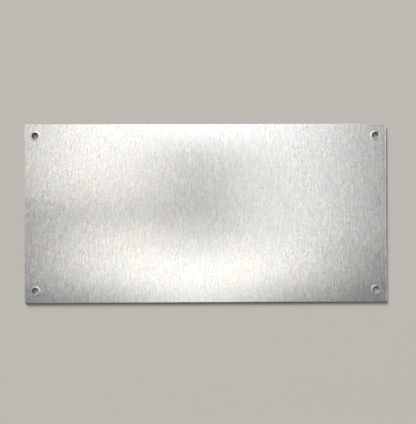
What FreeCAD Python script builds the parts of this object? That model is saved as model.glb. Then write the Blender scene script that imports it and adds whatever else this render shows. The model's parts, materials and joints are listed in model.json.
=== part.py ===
import FreeCAD, Part
import os

import Sketcher

# Cover plate for a letter opening: one flat rectangle of brushed sheet steel with a
# screw hole in each corner. The holes are punched from the back, so a low smooth rim
# stands up round each of them on the front.
#
# The plate lies face up. X runs along its length, Y along its width, and Z out of its
# front face. The origin is at the middle of its back face. Millimetres throughout.

PLATE = "blanking_plate"

# The driving dimensions, each with the name that the expressions use.
DIMENSIONS = {
    "plate_length": 304.0,
    "plate_width": 150.0,
    "sheet_thickness": 1.5,
    "screw_pitch_long": 286.0,
    "screw_pitch_short": 130.0,
    "screw_hole_diameter": 6.0,
    "rim_diameter": 8.4,
    "rim_crest_diameter": 6.9,
    "rim_height": 0.2,
    "rim_root_radius": 1.5,
    "rim_crest_radius": 1.0,
    "rim_mouth_radius": 0.2,
    "sharp_corner_radius": 0.4,
    "blunt_corner_radius": 2.0,
    "front_edge_radius": 0.4,
    "back_edge_chamfer": 0.1,
}

# How close a measured place has to be to count as the same place.
TOUCHING = 1e-4


def make_sheet(doc):
    """The spreadsheet that holds the driving dimensions."""
    sheet = doc.addObject("Spreadsheet::Sheet", "Dimensions")
    for row, (alias, value) in enumerate(DIMENSIONS.items(), start=1):
        sheet.set(f"A{row}", alias)
        sheet.set(f"B{row}", str(value))
        sheet.setAlias(f"B{row}", alias)
    doc.recompute()
    return sheet


def origin_plane(body, role):
    """One of the body's own origin planes."""
    return next(feature for feature in body.Origin.OriginFeatures if feature.Role == role)


def add_sketch(body, name, height=None):
    """A sketch on the body's XY plane, or on a plane above it at the height expression."""
    sketch = body.newObject("Sketcher::SketchObject", name)
    sketch.AttachmentSupport = [(origin_plane(body, "XY_Plane"), "")]
    sketch.MapMode = "FlatFace"
    if height:
        sketch.setExpression("AttachmentOffset.Base.z", height)
    return sketch


def constrain(sketch, kind, *where, expression=None):
    """Adds one constraint, bound to the expression where there is one."""
    index = sketch.addConstraint(Sketcher.Constraint(kind, *where))
    if expression:
        sketch.setExpression(f"Constraints[{index}]", expression)


def draw_outline(sketch):
    """The plate's outline: a rectangle with its middle on the origin."""
    half_length = DIMENSIONS["plate_length"] / 2
    half_width = DIMENSIONS["plate_width"] / 2
    corners = [
        FreeCAD.Vector(-half_length, -half_width, 0),
        FreeCAD.Vector(half_length, -half_width, 0),
        FreeCAD.Vector(half_length, half_width, 0),
        FreeCAD.Vector(-half_length, half_width, 0),
    ]
    start, end, origin = 1, 2, (-1, 1)
    for number, corner in enumerate(corners):
        sketch.addGeometry(Part.LineSegment(corner, corners[(number + 1) % 4]))
    for side in range(4):
        constrain(sketch, "Coincident", side, end, (side + 1) % 4, start)
    bottom, right, top, left = range(4)
    constrain(sketch, "Horizontal", bottom)
    constrain(sketch, "Horizontal", top)
    constrain(sketch, "Vertical", right)
    constrain(sketch, "Vertical", left)
    constrain(sketch, "Symmetric", bottom, start, top, start, *origin)
    constrain(
        sketch, "DistanceX", bottom, start, bottom, end, half_length * 2,
        expression="Dimensions.plate_length",
    )
    constrain(
        sketch, "DistanceY", right, start, right, end, half_width * 2,
        expression="Dimensions.plate_width",
    )


def draw_screw_places(sketch, diameter):
    """One circle at each screw hole, as wide as the named dimension."""
    half_long = DIMENSIONS["screw_pitch_long"] / 2
    half_short = DIMENSIONS["screw_pitch_short"] / 2
    radius = DIMENSIONS[diameter] / 2
    up = FreeCAD.Vector(0, 0, 1)
    middle, origin = 3, (-1, 1)
    for side_x in (-1, 1):
        for side_y in (-1, 1):
            place = FreeCAD.Vector(side_x * half_long, side_y * half_short, 0)
            circle = sketch.addGeometry(Part.Circle(place, up, radius))
            # A distance is measured from the lower of its two points to the higher.
            from_x = (*origin, circle, middle) if side_x > 0 else (circle, middle, *origin)
            from_y = (*origin, circle, middle) if side_y > 0 else (circle, middle, *origin)
            constrain(
                sketch, "DistanceX", *from_x, half_long,
                expression="Dimensions.screw_pitch_long / 2",
            )
            constrain(
                sketch, "DistanceY", *from_y, half_short,
                expression="Dimensions.screw_pitch_short / 2",
            )
            constrain(
                sketch, "Diameter", circle, radius * 2,
                expression=f"Dimensions.{diameter}",
            )


def edges_where(feature, test):
    """The names of the feature's edges that pass the test."""
    edges = feature.Shape.Edges
    return [f"Edge{number}" for number, edge in enumerate(edges, start=1) if test(edge)]


def is_upright(edge):
    """True for a straight edge that runs through the sheet's thickness."""
    box = edge.BoundBox
    return box.XLength < TOUCHING and box.YLength < TOUCHING and box.ZLength > TOUCHING


def is_blunt_corner(edge):
    """True for the one corner that has been knocked: far end of the length, far side."""
    return is_upright(edge) and edge.BoundBox.XMin > 0 and edge.BoundBox.YMin > 0


def is_sharp_corner(edge):
    """True for the other three corners."""
    return is_upright(edge) and not is_blunt_corner(edge)


def is_outline_at(edge, height):
    """True for an edge of the plate's outline that lies at one height."""
    box = edge.BoundBox
    level = abs(box.ZMin - height) < TOUCHING and abs(box.ZMax - height) < TOUCHING
    inside_x = max(abs(box.XMin), abs(box.XMax)) < DIMENSIONS["screw_pitch_long"] / 2
    inside_y = max(abs(box.YMin), abs(box.YMax)) < DIMENSIONS["screw_pitch_short"] / 2
    half_length = DIMENSIONS["plate_length"] / 2 - DIMENSIONS["blunt_corner_radius"]
    half_width = DIMENSIONS["plate_width"] / 2 - DIMENSIONS["blunt_corner_radius"]
    at_end = max(abs(box.XMin), abs(box.XMax)) > half_length - TOUCHING
    at_side = max(abs(box.YMin), abs(box.YMax)) > half_width - TOUCHING
    return level and not (inside_x and inside_y) and (at_end or at_side)


def is_circle_at(edge, diameter, height):
    """True for a level circle of one diameter at one height."""
    box = edge.BoundBox
    level = abs(box.ZMin - height) < TOUCHING and abs(box.ZMax - height) < TOUCHING
    as_long = abs(box.XLength - diameter) < TOUCHING
    as_wide = abs(box.YLength - diameter) < TOUCHING
    return level and as_long and as_wide


def dress(body, kind, name, base, edge_names, **sizes):
    """Adds a fillet or chamfer on the named edges, with its sizes bound to the sheet."""
    feature = body.newObject(kind, name)
    feature.Base = (base, edge_names)
    for size, expression in sizes.items():
        feature.setExpression(size, expression)
    body.Document.recompute()
    return feature


def make_blanking_plate(doc):
    """The whole plate: cut from sheet, its edges eased, and its holes punched."""
    body = doc.addObject("PartDesign::Body", "BlankingPlate")
    body.Label = PLATE

    outline = add_sketch(body, "Outline")
    draw_outline(outline)
    sheet_metal = body.newObject("PartDesign::Pad", "SheetMetal")
    sheet_metal.Profile = outline
    sheet_metal.setExpression("Length", "Dimensions.sheet_thickness")
    doc.recompute()

    sharp = dress(
        body, "PartDesign::Fillet", "SharpCorners", sheet_metal,
        edges_where(sheet_metal, is_sharp_corner),
        Radius="Dimensions.sharp_corner_radius",
    )
    blunt = dress(
        body, "PartDesign::Fillet", "BluntCorner", sharp,
        edges_where(sharp, is_blunt_corner),
        Radius="Dimensions.blunt_corner_radius",
    )

    thickness = DIMENSIONS["sheet_thickness"]
    front = dress(
        body, "PartDesign::Fillet", "FrontEdge", blunt,
        edges_where(blunt, lambda edge: is_outline_at(edge, thickness)),
        Radius="Dimensions.front_edge_radius",
    )
    back = dress(
        body, "PartDesign::Chamfer", "BackEdge", front,
        edges_where(front, lambda edge: is_outline_at(edge, 0)),
        Size="Dimensions.back_edge_chamfer",
    )

    rim_places = add_sketch(body, "RimPlaces", "Dimensions.sheet_thickness")
    draw_screw_places(rim_places, "rim_diameter")
    doc.recompute()
    rims = body.newObject("PartDesign::Pad", "Rims")
    rims.Profile = rim_places
    rims.setExpression("Length", "Dimensions.rim_height")
    slope = "(Dimensions.rim_diameter - Dimensions.rim_crest_diameter) / 2"
    rims.setExpression("TaperAngle", f"-atan({slope} / Dimensions.rim_height)")
    doc.recompute()
    if rims.Shape.Volume <= back.Shape.Volume:
        raise RuntimeError("the rims add nothing")

    crest = thickness + DIMENSIONS["rim_height"]
    hole_places = add_sketch(
        body, "HolePlaces", "Dimensions.sheet_thickness + Dimensions.rim_height"
    )
    draw_screw_places(hole_places, "screw_hole_diameter")
    doc.recompute()
    holes = body.newObject("PartDesign::Hole", "ScrewHoles")
    holes.Profile = hole_places
    holes.DepthType = "ThroughAll"
    holes.setExpression("Diameter", "Dimensions.screw_hole_diameter")
    doc.recompute()
    if holes.Shape.Volume >= rims.Shape.Volume:
        raise RuntimeError("the screw holes cut nothing")

    smooth = holes
    for name, diameter, height in (
        ("Root", "rim_diameter", thickness),
        ("Crest", "rim_crest_diameter", crest),
        ("Mouth", "screw_hole_diameter", crest),
    ):
        across = DIMENSIONS[diameter]
        circles = edges_where(smooth, lambda edge: is_circle_at(edge, across, height))
        smooth = dress(
            body, "PartDesign::Fillet", f"Rim{name}", smooth, circles,
            Radius=f"Dimensions.rim_{name.lower()}_radius",
        )
    body.Tip = smooth
    doc.recompute()
    return body


def check(doc, bodies):
    """Stops if any object failed, or any body is empty, broken or not one solid."""
    for item in doc.Objects:
        if "Invalid" in item.State or "Error" in item.State:
            raise RuntimeError(f"{item.Label} failed: {item.State}")
    for body in bodies:
        shape = body.Shape
        if shape.isNull() or not shape.isValid() or len(shape.Solids) != 1:
            raise RuntimeError(f"{body.Label} is not one valid solid")


def export(bodies):
    """Writes each body to its own file, named by its label."""
    os.makedirs("parts", exist_ok=True)
    for body in bodies:
        body.Shape.exportStep(os.path.join("parts", f"{body.Label}.step"))
        box = body.Shape.optimalBoundingBox()
        print(
            f"{body.Label}: {box.XLength:.2f} x {box.YLength:.2f} x {box.ZLength:.2f} mm,"
            f" {body.Shape.Volume:.0f} mm3"
        )


doc = FreeCAD.newDocument("LetterPlateCover")
make_sheet(doc)
bodies = [make_blanking_plate(doc)]
doc.recompute()
check(doc, bodies)
export(bodies)
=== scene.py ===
from collections import namedtuple
import json
import math

import bpy
from mathutils import Euler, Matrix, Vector


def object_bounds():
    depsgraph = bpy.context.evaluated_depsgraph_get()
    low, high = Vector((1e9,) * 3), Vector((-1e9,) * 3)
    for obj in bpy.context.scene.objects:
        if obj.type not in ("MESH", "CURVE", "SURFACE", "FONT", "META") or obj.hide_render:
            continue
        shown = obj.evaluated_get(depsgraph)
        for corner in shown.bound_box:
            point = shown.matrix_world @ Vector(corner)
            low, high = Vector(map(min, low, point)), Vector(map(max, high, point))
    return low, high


# A plain cover plate of brushed steel, lying face up on a pale floor and seen from
# straight above. Metres throughout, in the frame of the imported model: X along the
# plate's length, Y along its width and Z out of its front face.

PLATE = "blanking_plate"
MM = 0.001

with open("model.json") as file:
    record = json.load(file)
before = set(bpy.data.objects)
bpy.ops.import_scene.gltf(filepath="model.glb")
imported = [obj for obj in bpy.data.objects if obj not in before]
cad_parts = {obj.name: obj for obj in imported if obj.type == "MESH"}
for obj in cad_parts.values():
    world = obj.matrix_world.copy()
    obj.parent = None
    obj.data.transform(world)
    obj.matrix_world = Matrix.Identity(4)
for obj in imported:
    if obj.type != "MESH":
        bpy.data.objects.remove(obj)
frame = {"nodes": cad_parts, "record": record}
cad_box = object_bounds()


class Shading:
    """A material or world under construction: each call adds a node and links it."""

    def __init__(self, owner):
        owner.use_nodes = True
        self.tree = owner.node_tree

    def add(self, kind, inputs=None, **settings):
        """A new node. Each input is a plain value, or the socket that feeds it."""
        node = self.tree.nodes.new(kind)
        for name, value in settings.items():
            setattr(node, name, value)
        for place, value in (inputs or {}).items():
            if isinstance(value, bpy.types.NodeSocket):
                self.tree.links.new(value, node.inputs[place])
            else:
                node.inputs[place].default_value = value
        return node

    def math(self, operation, *values, clamp=False):
        inputs = dict(enumerate(values))
        return self.add("ShaderNodeMath", inputs, operation=operation, use_clamp=clamp).outputs[0]

    def vector(self, operation, *values):
        inputs = dict(enumerate(values))
        node = self.add("ShaderNodeVectorMath", inputs, operation=operation)
        return node.outputs["Value" if operation in ("LENGTH", "DISTANCE") else "Vector"]

    def separate(self, vector):
        """The vector's three parts, by the names X, Y and Z."""
        return self.add("ShaderNodeSeparateXYZ", {"Vector": vector}).outputs

    def ramp(self, value, start, end, low=0.0, high=1.0):
        """Eases from low to high as value goes from start to end."""
        inputs = {
            "Value": value, "From Min": start, "From Max": end, "To Min": low, "To Max": high,
        }
        node = self.add("ShaderNodeMapRange", inputs, interpolation_type="SMOOTHSTEP")
        return node.outputs["Result"]

    # A Mix node has sockets for every kind of data, told apart only by their numbers.

    def blend(self, share, first, second):
        """A colour that goes from first to second as share goes from 0 to 1."""
        inputs = {0: share, 6: first, 7: second}
        return self.add("ShaderNodeMix", inputs, data_type="RGBA").outputs[2]

    def between(self, share, first, second):
        """A number that goes from first to second as share goes from 0 to 1."""
        inputs = {0: share, 2: first, 3: second}
        return self.add("ShaderNodeMix", inputs, data_type="FLOAT").outputs[0]

    def vector_between(self, share, first, second):
        """A vector that goes from first to second as share goes from 0 to 1."""
        inputs = {0: share, 4: first, 5: second}
        return self.add("ShaderNodeMix", inputs, data_type="VECTOR").outputs[1]

    def clamp(self, value):
        return self.add("ShaderNodeClamp", {"Value": value}).outputs[0]

    def share(self, pattern, contrast):
        """A share from 0 to 1 that follows a pattern around 0."""
        return self.clamp(self.math("MULTIPLY_ADD", pattern, contrast, 0.5))

    def noise(self, vector, size, detail=2.0, roughness=0.5):
        """Noise around 0, mostly from -1 to 1. Size is its grain along X, Y and Z in mm."""
        stretched = self.vector("DIVIDE", vector, size)
        inputs = {"Vector": stretched, "Scale": 1.0, "Detail": detail, "Roughness": roughness}
        node = self.add("ShaderNodeTexNoise", inputs)
        return self.math("MULTIPLY_ADD", node.outputs["Fac"], 4.0, -2.0)

    def cells(self, vector, size):
        """A random tone for each cell, from -1 to 1. Size is a cell along X, Y and Z in mm."""
        stretched = self.vector("DIVIDE", vector, size)
        node = self.add("ShaderNodeTexVoronoi", {"Vector": stretched, "Scale": 1.0})
        tones = self.add("ShaderNodeSeparateColor", {"Color": node.outputs["Color"]})
        return self.math("MULTIPLY_ADD", tones.outputs["Red"], 2.0, -1.0)


def screw_places():
    """Half the distances between the screw holes, along X and Y, in mm."""
    mount = next(m for m in frame["record"]["mounts"] if m["name"] == "screw_holes")
    return mount["dims"]["spacing_x_mm"] / 2, mount["dims"]["spacing_y_mm"] / 2


# Lengths on the plate are in mm from here to the end of the plate's material.

# Where each finish starts, and where it is complete.
RIM_RAMP = (4.4, 3.9)    # by the distance from the middle of a hole
SIDE_RAMP = (0.5, 0.15)    # by the Z of the surface's direction: 1 on the front face
BACK_RAMP = (-0.3, -0.8)    # by the same Z, which is -1 on the back face


class Places:
    """Where a point of the plate lies: the masks and distances that its finishes use."""

    def __init__(self, shading):
        coordinates = shading.add("ShaderNodeTexCoord").outputs
        self.point = shading.vector("SCALE", coordinates["Object"])
        self.point.node.inputs["Scale"].default_value = 1 / MM
        self.normal = coordinates["Normal"]
        facing = shading.separate(self.normal)["Z"]

        quarter = shading.vector("SIGN", self.point)
        nearest_hole = shading.vector("MULTIPLY", quarter, (*screw_places(), 0.0))
        from_hole = shading.vector("SUBTRACT", self.point, nearest_hole)
        from_hole = shading.vector("MULTIPLY", from_hole, (1.0, 1.0, 0.0))
        self.hole_distance = shading.vector("LENGTH", from_hole)
        self.outward = shading.vector("NORMALIZE", from_hole)

        high = cad_box[1] / MM
        folded = shading.vector("ABSOLUTE", self.point)
        inward = shading.separate(shading.vector("SUBTRACT", (high.x, high.y, high.z), folded))
        self.edge_distance = shading.math("MINIMUM", inward["X"], inward["Y"])
        self.from_middle = shading.separate(folded)["X"]

        self.rim = shading.ramp(self.hole_distance, *RIM_RAMP)
        self.side = shading.ramp(facing, *SIDE_RAMP)
        self.back = shading.ramp(facing, *BACK_RAMP)


# The brush's strokes: the size of one along X, Y and Z, and how much it shows.
DASH = (0.3, 0.8, 0.8)
LINE = (0.42, 4.5, 4.5)
LINE_SHIFT = (31.0, 17.0, 5.0)
LINE_WEIGHT = 0.5
HAIR = (0.2, 16.0, 16.0)
HAIR_WEIGHT = 0.35
# How strong the strokes are, by the distance from the middle of the plate's length.
STRENGTH_RAMP = (30.0, 115.0)
STRENGTH_IN_MIDDLE = 0.8
STRENGTH_AT_ENDS = 1.1
PATCH = (9.0, 14.0, 14.0)
PATCH_WEIGHT = 0.35


def brushed_grain(shading, places):
    """The brushed grain, around 0: strokes along Y, stronger at the ends and in patches."""
    dashes = shading.cells(places.point, DASH)
    lines = shading.cells(shading.vector("ADD", places.point, LINE_SHIFT), LINE)
    hairs = shading.noise(places.point, HAIR, detail=1.0)
    tones = shading.math("MULTIPLY_ADD", lines, LINE_WEIGHT, dashes)
    tones = shading.math("MULTIPLY_ADD", hairs, HAIR_WEIGHT, tones)

    patches = shading.noise(places.point, PATCH, detail=2.0)
    strength = shading.ramp(
        places.from_middle, *STRENGTH_RAMP, low=STRENGTH_IN_MIDDLE, high=STRENGTH_AT_ENDS
    )
    strength = shading.math("MULTIPLY_ADD", patches, PATCH_WEIGHT, strength)
    return shading.math("MULTIPLY", tones, strength)


# The band beside the front face's edges is painted lighter: partly rubbed wear, partly a painted
# highlight for the bright edge line.
WORN_AND_HIGHLIGHT_RAMP = (0.9, 0.225)    # by the distance from the plate's outline
NICK = (1.2, 1.2, 1.2)
NICK_RAMP = (-0.6, 0.5)


def worn_and_highlit_edges(shading, places):
    """1 beside the front face's edges, where wear and a painted highlight make it lighter, 0
    elsewhere.
    """
    nicks = shading.noise(places.point, NICK, detail=3.0, roughness=0.7)
    near_edge = shading.ramp(places.edge_distance, *WORN_AND_HIGHLIGHT_RAMP)
    return shading.math("MULTIPLY", near_edge, shading.ramp(nicks, *NICK_RAMP))


SPECKS = [(72.9, -33.5, 0.45), (-89.6, 24.6, 0.4), (40.6, 41.9, 0.3)]    # x, y and radius
SPECK_COLOUR = (0.30, 0.29, 0.27, 1)
SPECK_RIM = 1.3    # a speck fades out between these shares of its radius
SPECK_CORE = 0.5


def speck_mask(shading, places):
    """1 inside the few small dark specks of the front face, 0 elsewhere."""
    flat = shading.vector("MULTIPLY", places.point, (1.0, 1.0, 0.0))
    mask = 0.0
    for x, y, radius in SPECKS:
        distance = shading.vector("DISTANCE", flat, (x, y, 0.0))
        speck = shading.ramp(distance, radius * SPECK_RIM, radius * SPECK_CORE)
        mask = shading.math("MAXIMUM", mask, speck)
    return shading.math("SUBTRACT", mask, places.back, clamp=True)


STEEL_DARK = (0.503, 0.50, 0.496, 1)
STEEL_LIGHT = (0.952, 0.95, 0.937, 1)
GRAIN_CONTRAST = 0.29
# How much lighter the edge band is painted, for wear and a painted highlight.
WORN_AND_HIGHLIGHT_LIFT = 0.3


def front_colour(shading, grain, worn_and_highlight):
    """Dark and light steel by the grain, lighter beside the edges for wear and a painted
    highlight.
    """
    tone = shading.math("MULTIPLY_ADD", grain, GRAIN_CONTRAST, 0.5)
    tone = shading.math("MULTIPLY_ADD", worn_and_highlight, WORN_AND_HIGHLIGHT_LIFT, tone)
    return shading.blend(shading.clamp(tone), STEEL_DARK, STEEL_LIGHT)


FRONT_ROUGHNESS = 0.25
GRAIN_ROUGHNESS = 0.004
SMUDGE = (40.0, 60.0, 60.0)
SMUDGE_ROUGHNESS = 0.01
WORN_ROUGHNESS = -0.05


def front_roughness(shading, places, grain, worn_and_highlight):
    """The satin face's roughness: barely changed by the grain, smoother where worn."""
    smudges = shading.noise(places.point, SMUDGE, detail=3.0)
    roughness = shading.math("MULTIPLY_ADD", grain, GRAIN_ROUGHNESS, FRONT_ROUGHNESS)
    roughness = shading.math("MULTIPLY_ADD", smudges, SMUDGE_ROUGHNESS, roughness)
    return shading.math("MULTIPLY_ADD", worn_and_highlight, WORN_ROUGHNESS, roughness)


# The other finishes: two tones, a roughness, and how far the pattern changes it.
Finish = namedtuple("Finish", "dark light roughness change")
TURNED = Finish((0.70, 0.70, 0.695, 1), (0.84, 0.84, 0.835, 1), 0.38, 0.03)
SHEARED = Finish((0.40, 0.40, 0.395, 1), (0.66, 0.66, 0.655, 1), 0.42, 0.05)
ROLLED = Finish((0.52, 0.52, 0.52, 1), (0.68, 0.68, 0.675, 1), 0.38, 0.03)
FINISH_CONTRAST = 0.4
RIM_LINE = (0.12, 1.0, 1.0)    # along the distance from the hole's middle
SHEAR_LINE = (0.15, 0.15, 1.6)
ROLLER_LINE = (25.0, 0.4, 0.4)


def other_surfaces(shading, places):
    """The rims, the sides and holes, and the back: each one's mask, pattern and finish."""
    from_hole = shading.add("ShaderNodeCombineXYZ", {"X": places.hole_distance}).outputs[0]
    rim_lines = shading.noise(from_hole, RIM_LINE, detail=1.0)
    shear_lines = shading.noise(places.point, SHEAR_LINE, detail=2.0, roughness=0.6)
    roller_lines = shading.noise(places.point, ROLLER_LINE, detail=3.0, roughness=0.6)
    return (
        (places.rim, rim_lines, TURNED),
        (places.side, shear_lines, SHEARED),
        (places.back, roller_lines, ROLLED),
    )


STAIN = (14.0, 20.0, 20.0)
STAIN_CONTRAST = 0.8
WARM_TINT = (1.0, 0.985, 0.955, 1)
COOL_TINT = (0.975, 0.99, 1.0, 1)


def stained(shading, places, colour):
    """The colour with its faint warm and cool stains, and the specks."""
    stains = shading.noise(places.point, STAIN, detail=3.0)
    tint = shading.blend(shading.share(stains, STAIN_CONTRAST), COOL_TINT, WARM_TINT)
    colour = shading.vector("MULTIPLY", colour, tint)
    return shading.blend(speck_mask(shading, places), colour, SPECK_COLOUR)


GRAIN_DIRECTION = (0.0, 1.0, 0.0)
ACROSS_GRAIN = (1.0, 0.0, 0.0)
FRONT_DIRECTION = (0.0, 0.0, 1.0)


def gloss_direction(shading, places):
    """The way the gloss spreads: across the grain, round the sides and out of the holes."""
    along_side = shading.vector("CROSS_PRODUCT", places.normal, FRONT_DIRECTION)
    spread = shading.vector_between(places.rim, ACROSS_GRAIN, places.outward)
    spread = shading.vector_between(places.side, spread, along_side)
    spread = shading.vector_between(places.back, spread, GRAIN_DIRECTION)
    turned = shading.add(
        "ShaderNodeVectorTransform", {"Vector": shading.vector("NORMALIZE", spread)},
        vector_type="VECTOR", convert_from="OBJECT", convert_to="WORLD",
    )
    return turned.outputs["Vector"]


BUMP_HEIGHT = 0.25e-6
ANISOTROPY = 0.7


def brushed_steel():
    """Satin steel: short strokes of grain along Y, bright eased edges and rims, with wear and a
    painted highlight beside the edges.
    """
    material = bpy.data.materials.new("brushed_steel")
    shading = Shading(material)
    places = Places(shading)

    grain = brushed_grain(shading, places)
    worn_and_highlight = worn_and_highlit_edges(shading, places)
    colour = front_colour(shading, grain, worn_and_highlight)
    roughness = front_roughness(shading, places, grain, worn_and_highlight)
    height = grain
    for mask, pattern, finish in other_surfaces(shading, places):
        tone = shading.share(pattern, FINISH_CONTRAST)
        colour = shading.blend(mask, colour, shading.blend(tone, finish.dark, finish.light))
        rough = shading.math("MULTIPLY_ADD", pattern, finish.change, finish.roughness)
        roughness = shading.between(mask, roughness, rough)
        height = shading.between(mask, height, pattern)
    bump = shading.add("ShaderNodeBump", {"Height": height, "Distance": BUMP_HEIGHT})

    shader = shading.tree.nodes["Principled BSDF"]
    shader.inputs["Metallic"].default_value = 1.0
    shader.inputs["Anisotropic"].default_value = ANISOTROPY
    for name, source in (
        ("Base Color", stained(shading, places, colour)), ("Roughness", roughness),
        ("Normal", bump.outputs["Normal"]), ("Tangent", gloss_direction(shading, places)),
    ):
        shading.tree.links.new(source, shader.inputs[name])
    return material


FLOOR_COLOUR = (0.172, 0.165, 0.151, 1)
FLOOR_ROUGHNESS = 0.9
FLOOR_GLOSS = 0.2
FLOOR_RADIUS = 6.0
FLOOR_FADE = (1.0, 5.0)    # by the distance from the plate
FLOOR_GAP = 0.05 * MM


def pale_floor():
    """A matt pale floor just under the plate, which melts into the backdrop far away."""
    material = bpy.data.materials.new("pale_floor")
    shading = Shading(material)
    shader = shading.tree.nodes["Principled BSDF"]
    shader.inputs["Base Color"].default_value = FLOOR_COLOUR
    shader.inputs["Roughness"].default_value = FLOOR_ROUGHNESS
    shader.inputs["Specular IOR Level"].default_value = FLOOR_GLOSS
    coordinates = shading.add("ShaderNodeTexCoord")
    distance = shading.vector("LENGTH", coordinates.outputs["Object"])
    faded = shading.ramp(distance, *FLOOR_FADE)
    clear = shading.add("ShaderNodeBsdfTransparent")
    mixed = shading.add(
        "ShaderNodeMixShader",
        {0: faded, 1: shader.outputs["BSDF"], 2: clear.outputs["BSDF"]},
    )
    output = shading.tree.nodes["Material Output"]
    shading.tree.links.new(mixed.outputs["Shader"], output.inputs["Surface"])

    bpy.ops.mesh.primitive_circle_add(vertices=96, radius=FLOOR_RADIUS, fill_type="NGON")
    floor = bpy.context.object
    floor.name = "floor"
    floor.location = (0, 0, cad_box[0].z - FLOOR_GAP)
    floor.data.materials.append(material)


OVERHEAD = (0.112, 0.12, 0.134, 1)
HORIZON_BEHIND = (0.68, 0.67, 0.65, 1)    # beyond the plate's top edge
HORIZON_BEFORE = (0.95, 0.95, 0.94, 1)    # beyond its bottom edge
OVERHEAD_RAMP = (0.3, 0.55)    # by the Z of the direction looked in
BEFORE_RAMP = (0.3, -0.9)    # by its Y


def soft_room():
    """A room that is pale round the horizon and dim overhead, where the panels hang."""
    world = bpy.data.worlds.new("soft_room")
    bpy.context.scene.world = world
    shading = Shading(world)
    coordinates = shading.add("ShaderNodeTexCoord")
    direction = shading.separate(coordinates.outputs["Generated"])
    overhead = shading.ramp(direction["Z"], *OVERHEAD_RAMP)
    before = shading.ramp(direction["Y"], *BEFORE_RAMP)
    horizon = shading.blend(before, HORIZON_BEHIND, HORIZON_BEFORE)
    colour = shading.blend(overhead, horizon, OVERHEAD)
    background = shading.tree.nodes["Background"]
    shading.tree.links.new(colour, background.inputs["Color"])


def softbox(name, place, size, brightness, colour=(1.0, 1.0, 1.0)):
    """A soft rectangular light that faces the middle of the plate."""
    data = bpy.data.lights.new(name, "AREA")
    data.shape = "RECTANGLE"
    data.size, data.size_y = size
    data.energy = brightness * math.pi * size[0] * size[1]
    data.color = colour
    light = bpy.data.objects.new(name, data)
    light.location = place
    light.rotation_euler = Vector(place).to_track_quat("Z", "Y").to_euler()
    light.visible_camera = False
    bpy.context.scene.collection.objects.link(light)
    return light


# Each panel under the ceiling: name, X from and to, Y from and to, brightness and colour.
WARM_LIGHT = (1.04, 1.0, 0.945)
PLAIN_LIGHT = (1.0, 1.0, 0.965)
COOL_LIGHT = (0.97, 1.0, 1.04)
CEILING_PANELS = [
    ("panel_left", -0.575, -0.15, 0.03, 0.75, 1.56, WARM_LIGHT),
    ("panel_back", -0.15, 0.15, 0.25, 0.75, 1.76, COOL_LIGHT),
    ("panel_right", 0.1, 0.495, -0.1, 0.5, 1.38, PLAIN_LIGHT),
    ("panel_front_left", -0.485, -0.1, -0.25, -0.016, 1.53, WARM_LIGHT),
    ("panel_front", -0.2, 0.15, -0.4, -0.15, 1.37, PLAIN_LIGHT),
    ("panel_front_right", 0.05, 0.4, -0.25, -0.1, 1.67, WARM_LIGHT),
    ("panel_far_left", -1.7, -1.05, -0.1, 0.6, 1.0, PLAIN_LIGHT),
    ("panel_far_right", 0.95, 1.6, -0.4, 0.6, 0.3, PLAIN_LIGHT),
]
CEILING_HEIGHT = 1.2
LEVEL_STEP = 2 * MM


def ceiling_panel(level, name, left, right, near, far, brightness, colour):
    """A soft rectangular light flat under the ceiling, between the given X and Y.

    Each panel hangs on a level of its own, so that both shine where two overlap.
    """
    place = ((left + right) / 2, (near + far) / 2, CEILING_HEIGHT + level * LEVEL_STEP)
    light = softbox(name, place, (right - left, far - near), brightness, colour)
    light.rotation_euler = (0.0, 0.0, 0.0)


# Each soft light that only the steel reflects: name, place, size and brightness.
WINDOWS = [
    ("window_back", (-0.1, 1.1, 1.2), (1.9, 0.8), 2.0),
    ("window_right", (1.6, 0.2, 0.42), (1.2, 0.5), 4.0),
    ("window_left", (-2.0, 0.9, 0.45), (0.8, 0.5), 4.0),
]
# Each light for the floor: name, direction it comes from, and strength.
FAR_LIGHTS = [
    ("key", (-0.49, 0.79, 0.35), 17.0),
    ("second", (-0.3, 0.6, 0.7), 2.5),
]
FAR_LIGHT_SPREAD = 20.0


def far_light(name, direction, strength):
    """A broad, far-off light for the floor and the plate's short soft shadow on it.

    The steel doesn't reflect it.
    """
    data = bpy.data.lights.new(name, "SUN")
    data.energy = strength
    data.angle = math.radians(FAR_LIGHT_SPREAD)
    light = bpy.data.objects.new(name, data)
    light.rotation_euler = Vector(direction).to_track_quat("Z", "Y").to_euler()
    light.visible_glossy = False
    bpy.context.scene.collection.objects.link(light)


CAMERA_PLACE = (-0.0018, -0.0008, 0.3975)
CAMERA_TURN = (0.25, -0.51, -0.21)    # degrees about X, Y and Z
LENS = 40.0
SENSOR_WIDTH = 36.0


def camera():
    """Looks straight down at the plate, square to it within about half a degree."""
    data = bpy.data.cameras.new("camera")
    data.lens = LENS
    data.sensor_width = SENSOR_WIDTH
    looker = bpy.data.objects.new("camera", data)
    looker.location = CAMERA_PLACE
    looker.rotation_euler = Euler([math.radians(turn) for turn in CAMERA_TURN])
    bpy.context.scene.collection.objects.link(looker)
    bpy.context.scene.camera = looker


camera()
soft_room()
pale_floor()
for level, panel in enumerate(CEILING_PANELS):
    ceiling_panel(level, *panel)
for window in WINDOWS:
    softbox(*window).visible_diffuse = False
for light in FAR_LIGHTS:
    far_light(*light)
bpy.context.scene.view_settings.view_transform = "Standard"

frame["nodes"][PLATE].material_slots[0].material = brushed_steel()
